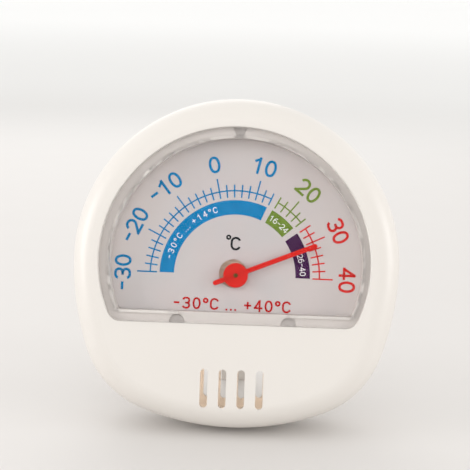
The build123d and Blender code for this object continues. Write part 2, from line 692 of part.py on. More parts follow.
with BuildPart() as hinge_pin:
    with BuildSketch(Plane.YZ.offset(-recess_block_half_width)):
        with Locations((hinge_point.Y, hinge_point.Z)):
            Circle(HINGE_PIN_RADIUS)
    extrude(amount=2 * recess_block_half_width)
hinge_pin.part.label = "hinge_pin"
export_step(hinge_pin.part, "parts/hinge_pin.step")
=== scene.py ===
"""Looks of a cold-room dial thermometer: case, lens, printed dial, pointer, movement, studio."""

import json
import logging
import math
from collections.abc import Sequence
from dataclasses import dataclass, field
from enum import Enum

import bmesh
import bpy
from mathutils import Matrix, Vector

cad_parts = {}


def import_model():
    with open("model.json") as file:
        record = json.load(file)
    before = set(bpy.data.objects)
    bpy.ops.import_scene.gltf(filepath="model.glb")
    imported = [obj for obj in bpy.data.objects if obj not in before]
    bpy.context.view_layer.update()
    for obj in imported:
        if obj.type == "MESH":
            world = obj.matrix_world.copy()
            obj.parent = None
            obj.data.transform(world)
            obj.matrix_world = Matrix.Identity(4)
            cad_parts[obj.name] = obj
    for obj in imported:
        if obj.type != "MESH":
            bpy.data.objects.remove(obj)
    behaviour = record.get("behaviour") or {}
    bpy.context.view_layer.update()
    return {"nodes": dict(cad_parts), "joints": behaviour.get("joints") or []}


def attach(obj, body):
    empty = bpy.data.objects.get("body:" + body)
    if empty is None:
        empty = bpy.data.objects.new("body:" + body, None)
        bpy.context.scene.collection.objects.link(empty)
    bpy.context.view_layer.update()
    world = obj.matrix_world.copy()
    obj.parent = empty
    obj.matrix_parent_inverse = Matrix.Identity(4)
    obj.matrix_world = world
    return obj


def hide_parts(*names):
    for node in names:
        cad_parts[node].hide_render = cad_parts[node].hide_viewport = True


LOG = logging.getLogger("thermometer")
MM = 0.001
Colour = tuple[float, float, float]
Point = tuple[float, float]
Socket = bpy.types.NodeSocket
Nodes = dict[str, bpy.types.Object]


# --- Places and pieces ----------------------------------------------------------------

@dataclass(frozen=True)
class Face:
    """The dial's own frame: x to the right, y up the dial, z towards the reader."""

    centre: Vector
    normal: Vector

    @property
    def matrix(self) -> Matrix:
        """The matrix from millimetres on the dial to metres in the row's frame."""
        across = Vector((1.0, 0.0, 0.0))
        up = self.normal.cross(across)
        turn = Matrix((across, up, self.normal)).transposed().to_4x4()
        return Matrix.Translation(self.centre) @ turn @ Matrix.Scale(MM, 4)

    def point(self, x: float, y: float, z: float) -> Vector:
        """Returns a point given in millimetres on the dial, in the row's frame."""
        return self.matrix @ Vector((x, y, z))


def add_piece(
    name: str, mesh: bmesh.types.BMesh, place: Matrix, material: bpy.types.Material,
    body: str,
) -> bpy.types.Object:
    """Turns a bmesh into a finished piece that rides on a body.

    Args:
        name: the piece's name.
        mesh: its shape, which is freed.
        place: the matrix that puts the shape into the row's frame.
        material: its finish.
        body: the body that it rides on.

    Returns:
        The new object.
    """
    mesh.transform(place)
    bmesh.ops.recalc_face_normals(mesh, faces=mesh.faces)
    data = bpy.data.meshes.new(name)
    mesh.to_mesh(data)
    mesh.free()
    data.materials.append(material)
    piece = bpy.data.objects.new(name, data)
    bpy.context.scene.collection.objects.link(piece)
    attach(piece, body)
    LOG.info("%s: %d faces, rides on %s", name, len(data.polygons), body)
    return piece


def dress(nodes: Nodes, names: Sequence[str], material: bpy.types.Material) -> None:
    """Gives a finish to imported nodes.

    Args:
        nodes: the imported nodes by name.
        names: the nodes that get the finish.
        material: the finish.
    """
    for name in names:
        node = nodes[name]
        if not node.material_slots:
            node.data.materials.append(material)
        for slot in node.material_slots:
            slot.material = material
        LOG.info("%s: %s", name, material.name)


# --- Finishes -------------------------------------------------------------------------

class Shader:
    """A small builder of node materials around one Principled shader."""

    def __init__(self, name: str) -> None:
        """Starts an empty material.

        Args:
            name: the material's name.
        """
        self.material = bpy.data.materials.new(name)
        self.material.use_nodes = True
        self.nodes = self.material.node_tree.nodes
        self.links = self.material.node_tree.links
        self.shader = self.nodes["Principled BSDF"]
        self.coordinates = self.nodes.new("ShaderNodeTexCoord").outputs["Object"]

    def set(self, **sockets: object) -> None:
        """Sets values on the shader's own sockets, underscores standing for spaces."""
        for name, value in sockets.items():
            self.shader.inputs[name.replace("_", " ")].default_value = value

    def stretched(self, turn: Sequence[float], scale: Sequence[float]) -> Socket:
        """Returns coordinates turned by some degrees and stretched.

        Args:
            turn: the turn about each axis, in degrees.
            scale: the scale along each axis.

        Returns:
            The coordinates.
        """
        node = self.nodes.new("ShaderNodeMapping")
        node.inputs["Rotation"].default_value = [math.radians(angle) for angle in turn]
        node.inputs["Scale"].default_value = scale
        self.links.new(self.coordinates, node.inputs["Vector"])
        return node.outputs["Vector"]

    def noise(self, scale: float, detail: float = 3.0, vector: Socket | None = None) -> Socket:
        """Returns a noise pattern's value, its scale given per metre."""
        node = self.nodes.new("ShaderNodeTexNoise")
        node.inputs["Scale"].default_value = scale
        node.inputs["Detail"].default_value = detail
        self.links.new(vector or self.coordinates, node.inputs["Vector"])
        return node.outputs["Fac"]

    def cells(self, scale: float) -> Socket:
        """Returns the distance pattern of scattered cells, its scale given per metre."""
        node = self.nodes.new("ShaderNodeTexVoronoi")
        node.inputs["Scale"].default_value = scale
        self.links.new(self.coordinates, node.inputs["Vector"])
        return node.outputs["Distance"]

    def away(self) -> Socket:
        """Returns how far the surface is from the object's own origin, in metres."""
        node = self.nodes.new("ShaderNodeVectorMath")
        node.operation = "LENGTH"
        self.links.new(self.coordinates, node.inputs[0])
        return node.outputs["Value"]

    def spread(
        self, value: Socket, low: float, high: float, start: float = 0.0, end: float = 1.0
    ) -> Socket:
        """Returns a value remapped, smoothly and within limits.

        Args:
            value: the value to remap.
            low: what start becomes.
            high: what end becomes.
            start: the value that becomes low.
            end: the value that becomes high.

        Returns:
            The remapped value.
        """
        node = self.nodes.new("ShaderNodeMapRange")
        node.interpolation_type = "SMOOTHSTEP"
        node.inputs["From Min"].default_value = start
        node.inputs["From Max"].default_value = end
        node.inputs["To Min"].default_value = low
        node.inputs["To Max"].default_value = high
        self.links.new(value, node.inputs["Value"])
        return node.outputs["Result"]

    def blend(self, value: Socket, dark: Colour | Socket, light: Colour | Socket) -> Socket:
        """Returns a colour between two colours.

        Args:
            value: nought for the first colour, one for the second.
            dark: the first colour.
            light: the second colour.

        Returns:
            The blended colour.
        """
        node = self.nodes.new("ShaderNodeMix")
        node.data_type = "RGBA"
        self.links.new(value, node.inputs[0])
        for place, colour in ((6, dark), (7, light)):
            if isinstance(colour, tuple):
                node.inputs[place].default_value = (*colour, 1.0)
            else:
                self.links.new(colour, node.inputs[place])
        return node.outputs[2]

    def colour(self, socket: Socket) -> None:
        """Feeds the base colour."""
        self.links.new(socket, self.shader.inputs["Base Color"])

    def roughness(self, socket: Socket) -> None:
        """Feeds the roughness."""
        self.links.new(socket, self.shader.inputs["Roughness"])

    def bump(self, value: Socket, strength: float, depth: float) -> None:
        """Raises the surface by a pattern's value, the depth given in metres."""
        node = self.nodes.new("ShaderNodeBump")
        node.inputs["Strength"].default_value = strength
        node.inputs["Distance"].default_value = depth
        self.links.new(value, node.inputs["Height"])
        self.links.new(node.outputs["Normal"], self.shader.inputs["Normal"])


@dataclass(frozen=True)
class MouldedPlastic:
    """Warm white moulded plastic with a faint flow pattern and a fine peel."""

    name: str
    base: Colour = (0.712, 0.677, 0.636)
    shade: Colour = (0.70, 0.663, 0.622)
    gloss: float = 0.32
    peel: float = 0.03

    def material(self) -> bpy.types.Material:
        """Returns the finished material."""
        made = Shader(self.name)
        flow = made.spread(made.noise(34.0, 1.0), 0.0, 1.0, 0.2, 0.8)
        made.colour(made.blend(flow, self.shade, self.base))
        made.roughness(made.spread(made.noise(170.0), self.gloss - 0.03, self.gloss + 0.06))
        made.bump(made.noise(1100.0, 4.0), self.peel, 0.00004)
        made.set(Coat_Weight=0.08, Coat_Roughness=0.25, IOR=1.45)
        return made.material


@dataclass(frozen=True)
class ClearAcrylic:
    """Clear moulded acrylic with a grey tint that darkens all seen through it, its gloss a little
    hazed by handling.

    Its index is set well below the real 1.49, to keep its reflections off the print.
    """

    name: str = "clear_acrylic"
    tint: Colour = (0.86, 0.845, 0.848)
    index: float = 1.13

    def material(self) -> bpy.types.Material:
        """Returns the finished material."""
        made = Shader(self.name)
        wiped = made.noise(300.0, 2.0, made.stretched((0.0, 12.0, 0.0), (0.2, 1.0, 1.0)))
        made.roughness(made.spread(wiped, 0.015, 0.05, 0.3, 0.8))
        made.bump(made.noise(60.0, 1.0), 0.02, 0.00005)
        made.set(Base_Color=(*self.tint, 1.0), Transmission_Weight=1.0, IOR=self.index)
        return made.material


@dataclass(frozen=True)
class PrintedCard:
    """Matt coated card of its own pink, grey and cream, faintly clouded with painted reflection of
    the lens's tints.
    """

    name: str = "printed_card"
    pink: Colour = (0.65, 0.602, 0.591)
    grey: Colour = (0.62, 0.602, 0.596)
    cream: Colour = (0.68, 0.638, 0.617)

    def material(self) -> bpy.types.Material:
        """Returns the finished material."""
        made = Shader(self.name)
        # Painted reflection: the clouding between pink, grey and cream stands for the lens's tints
        # on the card.
        reflection_clouds = made.spread(made.noise(75.0, 2.0), 0.0, 1.0, 0.35, 0.65)
        reflection_drift = made.spread(made.noise(28.0, 1.0), 0.0, 1.0, 0.35, 0.65)
        made.colour(made.blend(reflection_drift, made.blend(reflection_clouds, self.pink, self.grey), self.cream))
        made.roughness(made.spread(made.noise(900.0), 0.5, 0.62))
        made.bump(made.noise(4200.0, 3.0), 0.12, 0.00002)
        made.set(Specular_IOR_Level=0.2)
        return made.material


@dataclass(frozen=True)
class PressedFibre:
    """Tan sheet with a short random grain; its tan colour is painted shade, the warm shade of the
    white plastic inside the case.
    """

    name: str = "painted_warm_shade"
    tan: Colour = (0.64, 0.51, 0.39)
    fleck: Colour = (0.53, 0.42, 0.32)

    def material(self) -> bpy.types.Material:
        """Returns the finished material."""
        made = Shader(self.name)
        grain = made.noise(1900.0, 3.0, made.stretched((0.0, 0.0, 25.0), (0.3, 1.0, 1.0)))
        made.colour(made.blend(made.spread(grain, 0.0, 1.0, 0.4, 0.65), self.tan, self.fleck))
        made.roughness(made.spread(grain, 0.7, 0.85))
        made.bump(grain, 0.15, 0.00003)
        return made.material


@dataclass(frozen=True)
class Ink:
    """Screen-printed ink, slightly uneven, that follows the card's grain."""

    name: str
    tone: Colour

    def material(self) -> bpy.types.Material:
        """Returns the finished material."""
        made = Shader(self.name)
        thin = tuple(min(1.0, channel * 1.18 + 0.01) for channel in self.tone)
        patches = made.spread(made.noise(700.0, 4.0), 0.0, 1.0, 0.3, 0.7)
        made.colour(made.blend(patches, self.tone, thin))
        made.roughness(made.spread(made.noise(1500.0), 0.38, 0.5))
        made.bump(made.noise(4200.0, 3.0), 0.08, 0.00002)
        made.set(Specular_IOR_Level=0.05)
        return made.material


@dataclass(frozen=True)
class PointerPaint:
    """Satin red paint on stamped sheet, with a fine peel and a few specks."""

    name: str = "pointer_paint"
    tone: Colour = (0.76, 0.014, 0.007)
    deep: Colour = (0.69, 0.011, 0.005)
    speck: Colour = (0.52, 0.03, 0.02)

    def material(self) -> bpy.types.Material:
        """Returns the finished material."""
        made = Shader(self.name)
        coat = made.blend(made.noise(260.0, 3.0), self.deep, self.tone)
        specks = made.spread(made.cells(1400.0), 1.0, 0.0, 0.04, 0.1)
        made.colour(made.blend(specks, coat, self.speck))
        made.roughness(made.spread(made.noise(700.0), 0.34, 0.46))
        made.bump(made.noise(1800.0, 3.0), 0.1, 0.00003)
        made.set(Specular_IOR_Level=0.12)
        return made.material


@dataclass(frozen=True)
class Metal:
    """Metal with drawn marks one way and a slow change of tone."""

    name: str
    tone: Colour
    stain: Colour
    gloss: float
    marks: float = 3200.0
    turn: tuple[float, float, float] = (0.0, 0.0, 0.0)

    def material(self) -> bpy.types.Material:
        """Returns the finished material."""
        made = Shader(self.name)
        drawn = made.noise(self.marks, 3.0, made.stretched(self.turn, (0.06, 1.0, 1.0)))
        tarnish = made.spread(made.noise(240.0, 3.0), 0.0, 1.0, 0.4, 0.75)
        made.colour(made.blend(tarnish, self.tone, self.stain))
        made.roughness(made.spread(drawn, self.gloss, self.gloss + 0.16))
        made.bump(drawn, 0.12, 0.00002)
        made.set(Metallic=1.0)
        return made.material


@dataclass(frozen=True)
class ZincPlate:
    """Bright zinc plate with a cloudy spangle."""

    name: str = "zinc_plate"
    light: Colour = (0.86, 0.85, 0.86)
    dark: Colour = (0.74, 0.73, 0.75)

    def material(self) -> bpy.types.Material:
        """Returns the finished material."""
        made = Shader(self.name)
        spangle = made.spread(made.cells(1800.0), 0.0, 1.0, 0.1, 0.7)
        made.colour(made.blend(spangle, self.light, self.dark))
        made.roughness(made.spread(made.noise(1500.0), 0.24, 0.4))
        made.bump(made.noise(5200.0, 2.0), 0.08, 0.00001)
        made.set(Metallic=1.0)
        return made.material


@dataclass(frozen=True)
class StudioPaper:
    """Smooth white paper, its colour painted darker close to the object and paler far from the
    object: painted shade and light for how the studio light falls off across the floor.
    """

    name: str = "studio_paper_painted_falloff"
    near: Colour = (0.67, 0.645, 0.625)
    mid: Colour = (0.82, 0.81, 0.795)
    far: Colour = (0.985, 0.982, 0.975)

    def material(self) -> bpy.types.Material:
        """Returns the finished material."""
        made = Shader(self.name)
        distance = made.away()
        # Painted shade and light: darker close to the object, paler with distance.
        around = made.blend(made.spread(distance, 0.0, 1.0, 0.1, 1.0), self.near, self.mid)
        made.colour(made.blend(made.spread(distance, 0.0, 1.0, 0.3, 2.9), around, self.far))
        made.roughness(made.spread(made.noise(40.0), 0.6, 0.75))
        made.bump(made.noise(1600.0, 3.0), 0.05, 0.00005)
        return made.material


# --- Print ----------------------------------------------------------------------------

@dataclass(frozen=True)
class Stroke:
    """One sweep of the pen: its start, its heading in degrees, its straights and arcs.

    A move is a length with no turn, or a radius with a turn in degrees, left if positive.
    """

    start: Point
    heading: float
    moves: tuple[Point, ...]
    closed: bool = False


def oval(half_width: float, half_height: float, end_radius: float) -> Stroke:
    """Returns a closed upright oval of four arcs, drawn from its right side.

    Args:
        half_width: half of its width.
        half_height: half of its height.
        end_radius: the radius of its top and bottom.

    Returns:
        The stroke.
    """
    drop = half_height - end_radius
    side = (half_width**2 + drop**2 - end_radius**2) / (2.0 * (half_width - end_radius))
    lean = math.degrees(math.asin(drop / (side - end_radius)))
    turn = 180.0 - 2.0 * lean
    moves = ((side, lean), (end_radius, turn), (side, 2.0 * lean), (end_radius, turn), (side, lean))
    return Stroke((half_width, 0.0), 90.0, moves, closed=True)


class Lettering:
    """Upright round figures on a cell one unit high, measured along the strokes' middles."""

    HALF_WIDTH = 0.313
    NARROW = {" ": 0.45, ".": 0.42, "°": 0.7, "-": 0.82}

    def advance(self, character: str) -> float:
        """Returns how far a character moves the text on, against a full figure."""
        return self.NARROW.get(character, 1.0)

    def strokes(self, character: str, overhang: float) -> list[Stroke]:
        """Gives a character's strokes.

        Args:
            character: the character.
            overhang: half of the strokes' width, by which a plain end runs on.

        Returns:
            The strokes, or none for a space.
        """
        wide = self.HALF_WIDTH
        tall = 1.0 + 2.0 * overhang
        bowl = wide - 0.25
        figures = {
            "0": [oval(wide, 0.5, 0.253)],
            "1": [
                Stroke((0.08, -0.5 - overhang), 90.0, ((tall, 0.0),)),
                Stroke((-0.27, 0.2 + overhang / 2.0), 32.0, ((0.42, 0.0),)),
            ],
            "2": [
                Stroke((-0.3065, 0.2518), 78.0, ((wide, -216.0), (0.678, 0.0))),
                Stroke((-wide - overhang, -0.5), 0.0, ((2.0 * (wide + overhang), 0.0),)),
            ],
            "3": [
                Stroke(
                    (-0.3048, side * 0.3147), side * 75.0,
                    ((0.25, side * -75.0), (2.0 * bowl, 0.0), (0.25, side * -180.0), (0.16, 0.0)),
                )
                for side in (1.0, -1.0)
            ],
            "4": [
                Stroke((0.14, -0.5 - overhang), 90.0, ((tall, 0.0),)),
                Stroke((-0.34 - overhang, -0.22), 0.0, ((0.68 + 2.0 * overhang, 0.0),)),
                Stroke((0.14, 0.5 + overhang / 2.0), -121.0, ((0.9, 0.0),)),
            ],
            "6": [
                Stroke((wide, -0.187), 90.0, ((wide, 180.0), (wide, 180.0)), closed=True),
                Stroke((-wide, -0.187), 90.0, ((0.177, 0.0), (0.55, -60.0), (0.25, -70.0))),
            ],
            "C": [Stroke((0.338, 0.263), 110.0, ((0.36, 160.0), (0.28, 0.0), (0.36, 160.0)))],
            "°": [Stroke((0.19, 0.31), 90.0, ((0.19, 180.0), (0.19, 180.0)), closed=True)],
            "-": [Stroke((-0.277, 0.0), 0.0, ((0.554, 0.0),))],
            "+": [
                Stroke((-0.36, 0.0), 0.0, ((0.72, 0.0),)),
                Stroke((0.0, -0.36), 90.0, ((0.72, 0.0),)),
            ],
            ".": [Stroke((-overhang, -0.5), 0.0, ((2.0 * overhang, 0.0),))],
        }
        return figures.get(character, [])


@dataclass
class Pen:
    """Draws flat strokes by sweeping a thin upright section along straights and arcs."""

    underside: float
    top: float
    step: float = 9.0
    mesh: bmesh.types.BMesh = field(default_factory=bmesh.new)
    sheet: bpy.types.Mesh = field(default_factory=lambda: bpy.data.meshes.new("stroke"))
    lettering: Lettering = field(default_factory=Lettering)

    def stroke(self, stroke: Stroke, width: float, place: Matrix) -> None:
        """Draws one stroke.

        Args:
            stroke: the stroke.
            width: its width, in its own units.
            place: the matrix from its own units to the card.
        """
        mesh = bmesh.new()
        heading = math.radians(stroke.heading)
        spot = Vector((*stroke.start, (self.underside + self.top) / 2.0))
        ahead, left = self._directions(heading)
        section = Matrix((left, Vector((0.0, 0.0, 1.0)), ahead)).transposed().to_4x4()
        size = Matrix.Diagonal((width, self.top - self.underside, 1.0, 1.0))
        start = Matrix.Translation(spot) @ section @ size
        corners = bmesh.ops.create_grid(
            mesh, x_segments=1, y_segments=1, size=0.5, matrix=start
        )["verts"]
        first = last = corners[0].link_faces[0]
        for length, turn in stroke.moves:
            ahead, left = self._directions(heading)
            if turn:
                centre = spot + left * math.copysign(length, turn)
                last = self._swing(mesh, last, centre, turn)
                spot = centre + Matrix.Rotation(math.radians(turn), 3, "Z") @ (spot - centre)
                heading += math.radians(turn)
            else:
                last = self._push(mesh, last, ahead * length)
                spot = spot + ahead * length
        if stroke.closed:
            bmesh.ops.delete(mesh, geom=[first, last], context="FACES_ONLY")
            bmesh.ops.remove_doubles(mesh, verts=mesh.verts, dist=width / 20.0)
        mesh.transform(place)
        mesh.to_mesh(self.sheet)
        mesh.free()
        self.mesh.from_mesh(self.sheet)

    def _directions(self, heading: float) -> tuple[Vector, Vector]:
        """Returns the directions ahead and to the left of a heading in radians."""
        ahead = Vector((math.cos(heading), math.sin(heading), 0.0))
        return ahead, Vector((-ahead.y, ahead.x, 0.0))

    def _push(
        self, mesh: bmesh.types.BMesh, face: bmesh.types.BMFace, way: Vector
    ) -> bmesh.types.BMFace:
        """Sweeps the section straight on and returns its new end."""
        made = bmesh.ops.extrude_face_region(mesh, geom=[face])["geom"]
        ends = [part for part in made if isinstance(part, bmesh.types.BMVert)]
        bmesh.ops.translate(mesh, verts=ends, vec=way)
        return next(part for part in made if isinstance(part, bmesh.types.BMFace))

    def _swing(
        self, mesh: bmesh.types.BMesh, face: bmesh.types.BMFace, centre: Vector, turn: float
    ) -> bmesh.types.BMFace:
        """Sweeps the section round a centre and returns its new end."""
        steps = max(2, math.ceil(abs(turn) / self.step))
        made = bmesh.ops.spin(
            mesh, geom=[face, *face.edges, *face.verts], cent=centre, axis=(0.0, 0.0, 1.0),
            dvec=(0.0, 0.0, 0.0), angle=math.radians(turn), steps=steps,
            use_merge=False, use_duplicate=False,
        )["geom_last"]
        return next(part for part in made if isinstance(part, bmesh.types.BMFace))

    def text(self, text: str, height: float, width: float, places: Sequence[Matrix]) -> None:
        """Draws a line of text.

        Args:
            text: the characters.
            height: their height in millimetres.
            width: the width of their strokes.
            places: a matrix for the middle of each character.
        """
        scale = height - width
        size = Matrix.Diagonal((scale, scale, 1.0, 1.0))
        for character, place in zip(text, places):
            for stroke in self.lettering.strokes(character, width / scale / 2.0):
                self.stroke(stroke, width / scale, place @ size)

    def line(
        self, text: str, height: float, width: float, pitch: float, middle: Point,
        turn: Matrix | None = None,
    ) -> None:
        """Draws text on a straight line, in millimetres.

        Args:
            text: the characters.
            height: their height.
            width: the width of their strokes.
            pitch: the distance from one full figure to the next.
            middle: the middle of the text.
            turn: a turn about the spindle that is given to the whole line, if any.
        """
        whole = Matrix.Identity(4) if turn is None else turn
        places = [
            whole @ Matrix.Translation((middle[0] + shift, middle[1], 0.0))
            for shift in self._shifts(text, pitch)
        ]
        self.text(text, height, width, places)

    def arc(
        self, text: str, height: float, width: float, pitch: float, radius: float, middle: float
    ) -> None:
        """Draws text round the dial's centre about a middle angle, with its tops outwards."""
        places = [
            Matrix.Rotation(math.radians(middle - 90.0) - shift / radius, 4, "Z")
            @ Matrix.Translation((0.0, radius, 0.0))
            for shift in self._shifts(text, pitch)
        ]
        self.text(text, height, width, places)

    def _shifts(self, text: str, pitch: float) -> list[float]:
        """Returns how far the middle of each character is from the middle of the text."""
        steps = [self.lettering.advance(character) * pitch for character in text]
        starts = [sum(steps[:place]) for place in range(len(steps))]
        return [start + step / 2.0 - sum(steps) / 2.0 for start, step in zip(starts, steps)]


@dataclass(frozen=True)
class Stretch:
    """One coloured stretch of the scale."""

    name: str
    first: int
    last: int
    band: tuple[float, float]
    ink: Colour
    band_ink: Colour
    caption: str
    caption_reading: float
    caption_pitch: float


class Zone(Enum):
    """The scale's three stretches."""

    COLD = Stretch(
        "blue", -30, 14, (-30.0, 13.9), (0.004, 0.20, 0.45), (0.002, 0.21, 0.475),
        "-30°C ... +14°C", -13.5, 1.5,
    )
    MILD = Stretch(
        "green", 16, 24, (15.65, 23.9), (0.175, 0.27, 0.035), (0.155, 0.25, 0.03),
        "16-24", 19.8, 1.12,
    )
    WARM = Stretch(
        "red", 26, 40, (25.8, 40.0), (0.64, 0.02, 0.016), (0.05, 0.0075, 0.06),
        "26-40", 35.6, 1.08,
    )


@dataclass
class Dial:
    """The card and everything printed on it, in millimetres from the spindle."""

    face: Face
    card_top: float = -5.0
    card_thickness: float = 0.5
    card_radius: float = 28.78
    card_middle: float = 2.45
    card_floor: float = -8.48
    card_corner: float = 0.6
    hole_radius: float = 3.25
    hole: Point = (-0.62, 0.36)
    skew: float = -0.6
    print_shift: Point = (-0.25, -0.05)
    lowest: float = -30.0
    highest: float = 40.0
    sweep: float = 180.0
    tick_step: int = 2
    line_radius: float = 19.47
    line_width: float = 0.33
    tick_inner: float = 17.91
    tick_outer: float = 20.87
    long_tick_outer: float = 22.53
    band_inner: float = 13.98
    band_outer: float = 17.31
    figure_radius: float = 25.82
    figure_height: float = 3.9
    figure_width: float = 0.6
    figure_pitch: float = 3.05
    figure_lead: float = 0.027
    figure_step: int = 10
    ring_step: float = 2.0
    caption_height: float = 1.38
    caption_width: float = 0.17
    caption_ink: Colour = (0.86, 0.87, 0.87)
    unit_height: float = 3.16
    unit_width: float = 0.5
    unit_place: Point = (-0.05, 7.3)
    unit_ink: Colour = (0.004, 0.007, 0.009)
    degree_radius: float = 0.4
    degree_width: float = 0.4
    degree_place: Point = (-1.75, 8.7)
    range_text: str = "-30°C ... +40°C"
    range_height: float = 2.75
    range_width: float = 0.44
    range_pitch: float = 2.42
    range_place: Point = (-0.3, -6.8)
    range_ink: Colour = (0.5, 0.012, 0.012)
    ink_height: float = 0.02
    backing_radius: float = 4.5
    backing_bore: float = 1.3
    backing_thickness: float = 0.5
    backing_gap: float = 0.02

    def build(self) -> None:
        """Builds the card and the print on it."""
        self.card()
        self.backing()
        for zone in Zone:
            self.scale(zone.value)
            self.band(zone.value)
            self.caption(zone.value)
        self.unit()
        self.range_line()

    def angle(self, reading: float) -> float:
        """Returns the angle of a reading, in degrees from the right."""
        return (self.highest - reading) * self.sweep / (self.highest - self.lowest)

    def pen(self, layer: int = 0) -> Pen:
        """Returns a pen for the card itself, or for print on top of print."""
        ground = self.card_top + layer * self.ink_height
        return Pen(ground - self.ink_height / 2.0, ground + self.ink_height)

    def add(self, name: str, pen: Pen, tone: Colour) -> None:
        """Makes what a pen has drawn a piece, set a little out of true on the card."""
        shift = Matrix.Translation((*self.print_shift, 0.0))
        place = self.face.matrix @ (shift @ Matrix.Rotation(math.radians(self.skew), 4, "Z"))
        add_piece(name, pen.mesh, place, Ink(f"ink_{name}", tone).material(), "case")

    def card(self) -> None:
        """Makes the card, a circle with a flat floor and a hole for the hub."""
        mesh = bmesh.new()
        middle = Matrix.Translation((0.0, self.card_middle, self.card_top))
        bmesh.ops.create_circle(
            mesh, cap_ends=False, radius=self.card_radius, segments=180, matrix=middle
        )
        below = [vert for vert in mesh.verts if vert.co.y < self.card_floor]
        bmesh.ops.delete(mesh, geom=below, context="VERTS")
        ends = [vert for vert in mesh.verts if len(vert.link_edges) == 1]
        half_chord = math.sqrt(self.card_radius**2 - (self.card_floor - self.card_middle) ** 2)
        for end in ends:
            end.co = (math.copysign(half_chord, end.co.x), self.card_floor, self.card_top)
        mesh.edges.new(ends)
        bmesh.ops.bevel(
            mesh, geom=ends, offset=self.card_corner, affect="VERTICES", segments=4, profile=0.5,
            material=-1,
        )
        rim = list(mesh.edges)
        hole = bmesh.ops.create_circle(
            mesh, cap_ends=False, radius=self.hole_radius, segments=96,
            matrix=Matrix.Translation((*self.hole, self.card_top)),
        )["verts"]
        inner = list({edge for vert in hole for edge in vert.link_edges})
        bmesh.ops.bridge_loops(mesh, edges=rim + inner)
        sheet = bmesh.ops.extrude_face_region(mesh, geom=list(mesh.faces))["geom"]
        moved = [part for part in sheet if isinstance(part, bmesh.types.BMVert)]
        bmesh.ops.translate(mesh, verts=moved, vec=(0.0, 0.0, -self.card_thickness))
        paper = PrintedCard().material()
        piece = add_piece("dial_face", mesh, self.face.matrix, paper, "case")
        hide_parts("dial_card")

    def backing(self) -> None:
        """Makes a disc behind the card that closes the hole round the hub: a sheet of painted shade,
        standing in for the warm shade inside the case.
        """
        mesh = bmesh.new()
        top = self.card_top - self.card_thickness - self.backing_gap
        place = Matrix.Translation((0.0, 0.0, top))
        for radius in (self.backing_radius, self.backing_bore):
            bmesh.ops.create_circle(mesh, cap_ends=False, radius=radius, segments=96, matrix=place)
        bmesh.ops.bridge_loops(mesh, edges=list(mesh.edges))
        ring = bmesh.ops.extrude_face_region(mesh, geom=list(mesh.faces))["geom"]
        lower = [part for part in ring if isinstance(part, bmesh.types.BMVert)]
        bmesh.ops.translate(mesh, verts=lower, vec=(0.0, 0.0, -self.backing_thickness))
        # The disc's tan colour is painted warm shade of the case's inside.
        add_piece("painted_shade_backing", mesh, self.face.matrix, PressedFibre().material(), "case")

    def scale(self, stretch: Stretch) -> None:
        """Prints a stretch's ticks, its line and its figures."""
        pen = self.pen()
        start, end = self.angle(stretch.first), self.angle(stretch.last)
        self._ring(pen, self.line_radius, self.line_width, start, end)
        for reading in range(stretch.first, stretch.last + 1, self.tick_step):
            outer = self.tick_outer if reading % self.figure_step else self.long_tick_outer
            turn = Matrix.Rotation(math.radians(self.angle(reading)), 4, "Z")
            tick = Stroke((self.tick_inner, 0.0), 0.0, ((outer - self.tick_inner, 0.0),))
            pen.stroke(tick, self.line_width, turn)
        for reading in range(int(self.lowest), int(self.highest) + 1, self.figure_step):
            if stretch.first <= reading <= stretch.last:
                self._figure(pen, reading)
        self.add(f"scale_{stretch.name}", pen, stretch.ink)

    def _figure(self, pen: Pen, reading: int) -> None:
        """Prints one reading straight across the end of its tick, its digits about the tick."""
        turn = Matrix.Rotation(math.radians(self.angle(reading) - 90.0), 4, "Z")
        dash = pen.lettering.advance("-") * self.figure_pitch if reading < 0 else 0.0
        middle = (-self.figure_lead * min(reading, 0) - dash / 2.0, self.figure_radius)
        pen.line(
            str(reading), self.figure_height, self.figure_width, self.figure_pitch, middle, turn
        )

    def _ring(self, pen: Pen, radius: float, width: float, start: float, end: float) -> None:
        """Draws an arc about the spindle, clockwise between two angles."""
        usual, pen.step = pen.step, self.ring_step
        turn = Matrix.Rotation(math.radians(start), 4, "Z")
        pen.stroke(Stroke((radius, 0.0), -90.0, ((radius, end - start),)), width, turn)
        pen.step = usual

    def band(self, stretch: Stretch) -> None:
        """Prints the broad band of a stretch."""
        pen = self.pen()
        start, end = (self.angle(reading) for reading in stretch.band)
        middle = (self.band_inner + self.band_outer) / 2.0
        self._ring(pen, middle, self.band_outer - self.band_inner, start, end)
        self.add(f"band_{stretch.name}", pen, stretch.band_ink)

    def caption(self, stretch: Stretch) -> None:
        """Prints the plain range in white on a band."""
        pen = self.pen(layer=1)
        radius = (self.band_inner + self.band_outer) / 2.0
        pen.arc(
            stretch.caption, self.caption_height, self.caption_width, stretch.caption_pitch,
            radius, self.angle(stretch.caption_reading),
        )
        self.add(f"range_{stretch.name}", pen, self.caption_ink)

    def unit(self) -> None:
        """Prints the unit above the spindle."""
        pen = self.pen()
        pen.line("C", self.unit_height, self.unit_width, 1.0, self.unit_place)
        half = (self.degree_radius, 180.0)
        ring = Stroke((self.degree_radius, 0.0), 90.0, (half, half), closed=True)
        pen.stroke(ring, self.degree_width, Matrix.Translation((*self.degree_place, 0.0)))
        self.add("unit", pen, self.unit_ink)

    def range_line(self) -> None:
        """Prints the whole range under the spindle."""
        pen = self.pen()
        pen.line(
            self.range_text, self.range_height, self.range_width, self.range_pitch, self.range_place
        )
        self.add("range_line", pen, self.range_ink)


# --- Sub-assemblies -------------------------------------------------------------------

